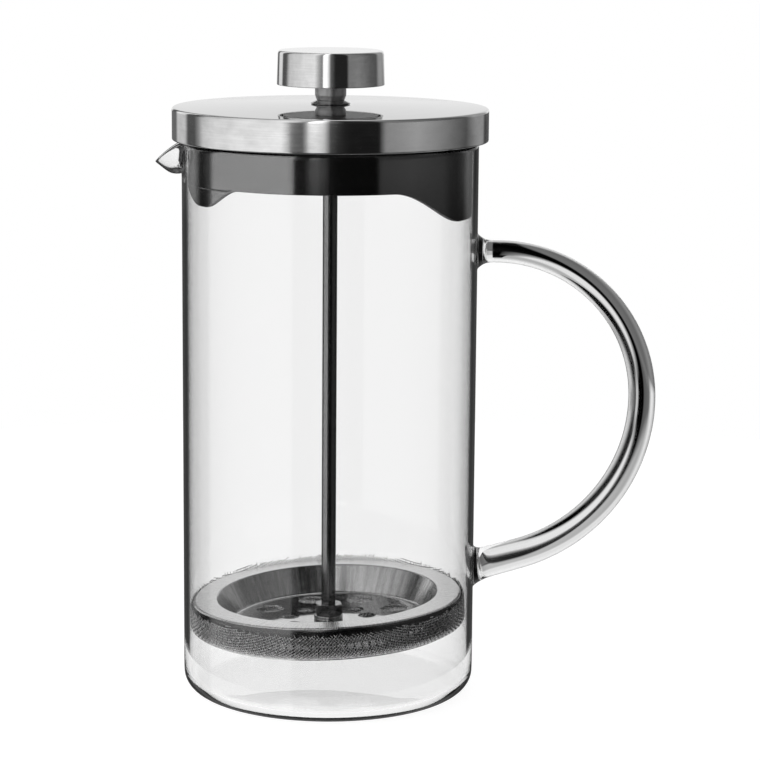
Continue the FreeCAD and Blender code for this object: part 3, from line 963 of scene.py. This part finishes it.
def screen_reach(azimuth_cos, fray):
    """Length of the screen from its centre to its frayed edge, which stands higher at the back."""
    flat = SCREEN_HIGH.x - SCREEN_CORNER
    edge_z = SCREEN_HIGH.z - SCREEN_DIP + SCREEN_RISE * azimuth_cos
    return flat + SCREEN_CORNER * math.pi / 2 + edge_z - SCREEN_LOW.z - SCREEN_CORNER + fray


def weave_wires(bm, crosswise, seed):
    """One direction of wires of a plain weave, laid at 45 degrees and bent up at the edge."""
    dice = random.Random(seed)
    reach = screen_reach(1.0, 1.0)
    count = int(reach / WEAVE)
    for i in range(-count, count + 1):
        across = (i + 0.5) * WEAVE
        frays = (dice.uniform(*FRAY), dice.uniform(*FRAY))
        run = []
        for j in range(-count, count + 1):
            along = (j + 0.5) * WEAVE
            u, v = (across, along) if crosswise else (along, across)
            place = Vector(((u - v) * math.sqrt(0.5), (u + v) * math.sqrt(0.5), 0))
            s = place.length
            direction = place.normalized()
            inside = s < screen_reach(direction.y, frays[j > 0]) and s > SCREEN_BORE
            if inside:
                point, normal = screen_point(s, direction)
                over = 1 if (i + j) % 2 else -1
                lift = over * (-1 if crosswise else 1) * WIRE_R * 0.9
                run.append((point + normal * lift, normal))
            if (not inside or j == count) and len(run) > 2:
                tube(bm, [p for p, n in run], [n for p, n in run], WIRE_R)
            if not inside:
                run = []


def build_screen(material):
    for name, crosswise, seed in (("screen_warp", False, 3), ("screen_weft", True, 8)):
        bm = bmesh.new()
        weave_wires(bm, crosswise, seed)
        lean(make(name, bm, "plunger", "woven_steel", material, "mesh_screen", recalc=False))


# --- studio ---
# Light by azimuth in degrees, 0 towards the camera and negative to the left: (azimuth, level) stops, one line
# to each lamp, white card or black flag. Surfaces mirror LOW_BANDS just under eye level and HIGH_BANDS
# above it. They mirror WET_BANDS further down, and so does what stands in the glass.
LOW_BANDS = (
    (-180, 0.15), (-150, 0.15),  # dark corner behind
    (-145, 0.6), (-130, 0.6),  # card
    (-125, 0.1), (-115, 0.1),  # flag
    (-105, 0.6), (-85, 0.85), (-35, 1.0),  # soft box, brighter towards the front
    (-30, 0.3), (-25, 0.1), (-20, 0.1),  # flag
    (-15, 0.95), (-5, 1.0),  # strip beside the camera
    (0, 0.1), (5, 0.03), (15, 0.01), (35, 0.01),  # large flag to the right of the camera
    (40, 0.4), (65, 0.55), (100, 0.2), (115, 0.1),  # fill card, paler at its far end
    (130, 0.3), (145, 0.3),  # card
    (150, 0.05), (180, 0.15),  # dark corner behind
)
HIGH_BANDS = (
    (-180, 0.88), (-165, 0.88),  # white wall behind
    (-160, 0.1), (-150, 0.1),  # flag
    (-145, 0.9), (-130, 0.9),  # card
    (-125, 0.1), (-110, 0.1),  # flag
    (-100, 0.6), (-60, 0.85), (-35, 0.95),  # soft box
    (-20, 0.3), (-17, 0.3),  # flag
    (-15, 1.8), (-10, 1.8),  # strip, brightest above eye level
    (0, 0.15), (10, 0.02), (35, 0.02),  # large flag
    (40, 0.2), (60, 0.2), (95, 0.1), (115, 0.1),  # fill card
    (125, 0.35), (150, 0.35),  # card
    (160, 0.88), (180, 0.88),  # white wall behind
)
WET_BANDS = (
    (-180, 0.1), (-150, 0.1),  # dark corner behind
    (-140, 0.45), (-130, 0.45),  # card
    (-125, 0.03), (-110, 0.03),  # flag
    (-105, 0.9), (-30, 0.95),  # soft box with a hard edge
    (-28, 0.02), (-16, 0.02),  # flag
    (-14, 0.1), (-9, 0.1),  # strip
    (-7, 0.01), (38, 0.01),  # large flag
    (40, 0.08), (100, 0.08), (110, 0.03),  # fill card
    (130, 0.03), (140, 0.3),  # card
    (150, 0.1), (180, 0.1),  # dark corner behind
)
# What shows through the glass rod of the handle, 180 straight behind it: MID_BANDS through its upright
# part, and SIDE_BANDS through its bends.
MID_BANDS = (
    (-180, 0.1), (-165, 0.15),  # dark backdrop
    (-155, 0.85), (-145, 0.85),  # white card
    (-130, 0.5), (-90, 0.25), (90, 0.3),  # room
    (110, 0.75), (120, 0.7), (130, 0.4), (150, 0.1),  # white card, fading into the backdrop
    (155, 0.05), (157, 0.55), (162, 0.5),  # slit of light
    (164, 0.0), (178, 0.0), (180, 0.1),  # black flag
)
SIDE_BANDS = (
    (-180, 0.5), (-165, 0.4),  # grey backdrop
    (-150, 0.85), (-120, 0.5),  # white card
    (-90, 0.4), (90, 0.4),  # room
    (120, 0.7), (135, 0.6), (148, 0.05),  # white card, fading into a flag
    (150, 0.0), (160, 0.0),  # black flag
    (162, 0.4), (165, 0.8), (173, 0.8),  # white card
    (175, 0.0), (179, 0.0), (180, 0.5),  # black flag
)
BRIGHTEST = 3.5


def band_light(tree, around, bands):
    """Level at a share of the full turn, from a list of bands."""
    stops = [(azimuth / 360 + 0.5, level / BRIGHTEST) for azimuth, level in bands]
    return calc(tree, "MULTIPLY", ramp(tree, around, stops), BRIGHTEST)


def between(tree, height, start, end):
    """0 below the first elevation in degrees and 1 above the second."""
    low, high = math.sin(math.radians(start)), math.sin(math.radians(end))
    return add(tree, "ShaderNodeMapRange", {"Value": height, "From Min": low, "From Max": high}).outputs[0]


def blend_values(tree, share, without, full):
    rest = calc(tree, "SUBTRACT", 1.0, share)
    return calc(tree, "ADD", calc(tree, "MULTIPLY", share, full), calc(tree, "MULTIPLY", rest, without))


def mirrored_light(tree, way, around):
    """Level that surfaces mirror in the open, and behind the vessel's wall."""
    height = way["Z"]
    front = add(tree, "ShaderNodeMapRange", {"Value": way["Y"], "From Min": -0.2, "From Max": 0.3})
    table = blend_values(tree, front.outputs[0], 0.07, 0.4)
    lower = blend_values(tree, between(tree, height, -40, -30), table, band_light(tree, around, WET_BANDS))
    middle = blend_values(tree, between(tree, height, -7, -6), lower, band_light(tree, around, LOW_BANDS))
    upper = band_light(tree, around, HIGH_BANDS)
    dry = blend_values(tree, between(tree, height, -4.3, -2.4), middle, upper)
    return dry, blend_values(tree, between(tree, height, -1, 3), lower, upper)


def light_through_rod(tree, way, around):
    """Level behind the handle. Its bends look past the middle band, and see less on the lower left."""
    height = way["Z"]
    left = calc(tree, "LESS_THAN", way["X"], 0.04)
    lower_left = calc(tree, "MULTIPLY", left, calc(tree, "SUBTRACT", 1.0, between(tree, height, -15, -10)))
    bands = band_light(tree, around, SIDE_BANDS)
    shade = calc(tree, "SUBTRACT", 1.0, calc(tree, "MULTIPLY", lower_left, 0.68))
    upright = calc(tree, "SUBTRACT", between(tree, height, -15, -12.5), between(tree, height, -10, -7))
    sides = calc(tree, "MULTIPLY", bands, shade)
    level = blend_values(tree, upright, sides, band_light(tree, around, MID_BANDS))
    over = blend_values(tree, between(tree, height, 14, 30), blend_values(tree, left, 0.45, 0.8), 0.97)
    lit = calc(tree, "MAXIMUM", calc(tree, "GREATER_THAN", bands, 0.2), between(tree, height, 14, 20))
    level = blend_values(tree, between(tree, height, 3, 8), level, calc(tree, "MULTIPLY", over, lit))
    return blend_values(tree, between(tree, height, -56, -46), 0.6, level)


def light_by_path(tree, dry, wet, through_rod):
    """Plain white for the camera, and the studio for light that glass or a surface has turned."""
    path = add(tree, "ShaderNodeLightPath").outputs
    depth = path["Transmission Depth"]
    bounces = calc(tree, "ADD", path["Glossy Depth"], path["Diffuse Depth"])
    bounced = calc(tree, "GREATER_THAN", bounces, 0.5)
    vessel = calc(tree, "GREATER_THAN", depth, 2.5)
    single_wall = calc(tree, "MULTIPLY", path["Is Transmission Ray"], calc(tree, "COMPARE", depth, 2.0, 0.4))
    weak = calc(tree, "MAXIMUM", single_wall, calc(tree, "GREATER_THAN", depth, 5.5))
    clear = blend_values(tree, vessel, through_rod, 1.0)
    gloss = calc(tree, "SUBTRACT", 1.0, calc(tree, "MULTIPLY", weak, 0.9))
    mirrored = calc(tree, "MULTIPLY", blend_values(tree, vessel, dry, wet), gloss)
    return blend_values(tree, path["Is Camera Ray"], blend_values(tree, bounced, clear, mirrored), 1.0)


def studio_light():
    """White room lit by the lamps, cards and flags of the tables above."""
    world = bpy.data.worlds.new("studio")
    bpy.context.scene.world = world
    world.use_nodes = True
    world.cycles.sampling_method = "NONE"
    tree = world.node_tree
    tree.nodes.clear()
    direction = add(tree, "ShaderNodeTexCoord").outputs["Generated"]
    way = add(tree, "ShaderNodeSeparateXYZ", {0: direction}).outputs
    azimuth = calc(tree, "ARCTAN2", way["X"], calc(tree, "MULTIPLY", way["Y"], -1.0))
    around = calc(tree, "ADD", calc(tree, "DIVIDE", azimuth, 2 * math.pi), 0.5)
    dry, wet = mirrored_light(tree, way, around)
    level = light_by_path(tree, dry, wet, light_through_rod(tree, way, around))
    light = add(tree, "ShaderNodeBackground", {"Color": grey_of(tree, level), "Strength": 1.0})
    add(tree, "ShaderNodeOutputWorld", {"Surface": light.outputs[0]})


def flat_disc(name, radii, z, material):
    bm = bmesh.new()
    rings = [[bm.verts.new((0, 0, 0))]]
    for radius in radii:
        rings.append([bm.verts.new(polar(radius, 3 * i, 0)) for i in range(120)])
    join_rings(bm, rings)
    disc = mesh_object(name, bm)
    disc.location.z = z * MM
    disc.data.materials.append(material)
    return disc


def build_floor():
    """Round white table kept out of the gloss, and its patch that shows through the beaker's base."""
    table = flat_disc("table_top", (60, 120, 240, 460), -0.2, floor_material("white_table", 0.3, 0.92))
    table.visible_glossy = False
    table.visible_transmission = False
    patch = flat_disc("table_patch", (20, 75), -0.1, floor_material("table_under_glass", 0.05, 0.98))
    patch.visible_camera = False
    patch.visible_glossy = False
    patch.visible_diffuse = False


CAMERA_PLACE = (0, -0.8739, 0.2648)
CAMERA_TURN = (10.40, 1.10, 0.451)      # pitch down, turn to the right and roll, in degrees
CAMERA_LENS = 126.9


def build_camera():
    """Long lens, a little above the lid, turned and rolled slightly."""
    pitch, yaw, roll = [math.radians(angle) for angle in CAMERA_TURN]
    forward = Vector((
        math.sin(yaw) * math.cos(pitch), math.cos(yaw) * math.cos(pitch), -math.sin(pitch)))
    right = Vector((math.cos(yaw), -math.sin(yaw), 0))
    up = right.cross(forward)
    rolled_right = right * math.cos(roll) + up * math.sin(roll)
    rolled_up = up * math.cos(roll) - right * math.sin(roll)
    data = bpy.data.cameras.new("studio_camera")
    data.lens = CAMERA_LENS
    data.sensor_width = 36
    camera = bpy.data.objects.new("studio_camera", data)
    axes = Matrix((rolled_right, rolled_up, -forward)).transposed().to_4x4()
    camera.matrix_world = Matrix.Translation(CAMERA_PLACE) @ axes
    bpy.context.scene.collection.objects.link(camera)
    bpy.context.scene.camera = camera


def set_picture():
    """Plain tones, and enough bounces for light to cross four walls of glass."""
    scene = bpy.context.scene
    scene.view_settings.view_transform = "Standard"
    scene.cycles.use_denoising = True
    scene.cycles.max_bounces = 20
    scene.cycles.transmission_bounces = 20
    scene.cycles.glossy_bounces = 8
    scene.cycles.diffuse_bounces = 3


def repaint(node, material):
    """Gives a carried-over CAD node its finish."""
    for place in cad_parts[node].material_slots:
        place.material = material


# Grey, roughness, streaks around and across, depth of the grain in metres, anisotropy, share of blotches
STEELS = {
    "lid_side": (0.90, 0.09, 3.0, 2600.0, 1e-6, 0.9, 0.16),
    # lid top: mirror finish, painted darker grey than the side as painted shade
    "lid_top_painted_shade": (0.62, 0.05, 2.0, 2200.0, 1e-7, 0.0, 0.03),
    "knob_top": (0.97, 0.10, 2.0, 2200.0, 2e-7, 0.0, 0.02),
    "knob_steel": (0.86, 0.10, 3.0, 2400.0, 1e-6, 0.9, 0.10),
    # knob's underside: painted darker grey than the knob's side as painted shade under the knob
    "knob_base": (0.34, 0.30, 3.0, 2400.0, 1e-6, 0.0, 0.05),
    "neck_steel": (0.62, 0.42, 3.0, 2400.0, 1e-6, 0.0, 0.05),
    "turned_steel": (0.60, 0.20, 3.0, 3000.0, 1e-6, 0.6, 0.05),
    # turned steel painted darker for the nut as painted shade
    "turned_steel_painted_shade": (0.35, 0.18, 3.0, 3000.0, 2e-6, 0.4, 0.10),
    "rod_steel": (0.30, 0.16, 6.0, 900.0, 1e-6, 0.5, 0.10),
    "pressed_steel": (0.74, 0.05, 40.0, 500.0, 2e-7, 0.0, 0.15),
    "radial_brushed": (0.80, 0.24, 300.0, 60.0, 5e-6, 0.0, 0.06),
    # the dish's sloping side: darker grey than its floor as painted shade, with blotches of wear
    "dish_wall_painted_shade": (0.60, 0.20, 8.0, 400.0, 1e-6, 0.0, 0.30),
    # the dish's lip: near-black steel as painted shade under the rim
    "dish_lip_painted_shade": (0.14, 0.22, 3.0, 2600.0, 1e-6, 0.6, 0.20),
}


def main():
    build_camera()
    set_picture()
    studio_light()
    build_floor()
    steel = {name: steel_material(name, *finish) for name, finish in STEELS.items()}
    dome(steel["lid_top_painted_shade"], MIRROR_DOME * MM, LID_R * MM)
    turned, pressed = steel["turned_steel"], steel["pressed_steel"]
    build_glass(glass_material())
    build_lid(steel["lid_side"], steel["lid_top_painted_shade"])
    build_pour_ring(plastic_material("black_plastic", 0.005, 0.09, 3.0, 300.0, 1e-6))
    build_bush(turned)
    build_knob_cap(steel["knob_steel"], steel["knob_top"])
    # The knob's underside takes steel painted dark as painted shade.
    build_knob_base(steel["knob_base"])
    build_neck(steel["neck_steel"])
    build_rod(steel["rod_steel"])
    # The nut takes turned steel painted darker as painted shade.
    build_nut(steel["turned_steel_painted_shade"])
    build_washer(turned)
    build_hub(turned)
    build_dish(pressed, steel["radial_brushed"], steel["dish_lip_painted_shade"], steel["dish_wall_painted_shade"])
    build_cross(pressed)
    # The spring's wire is painted near black as painted shade under the dish's rim.
    build_coil(wire_material("spring_wire_painted_shade", 0.04, 0.3))
    build_screen(wire_material("woven_wire", 0.8, 0.22))
    repaint("knob_core", plastic_material("core_plastic", 0.03, 0.6, 1.5, 900.0, 3e-5))
    repaint("bush_nut", turned)
    repaint("bush_washer", turned)


main()
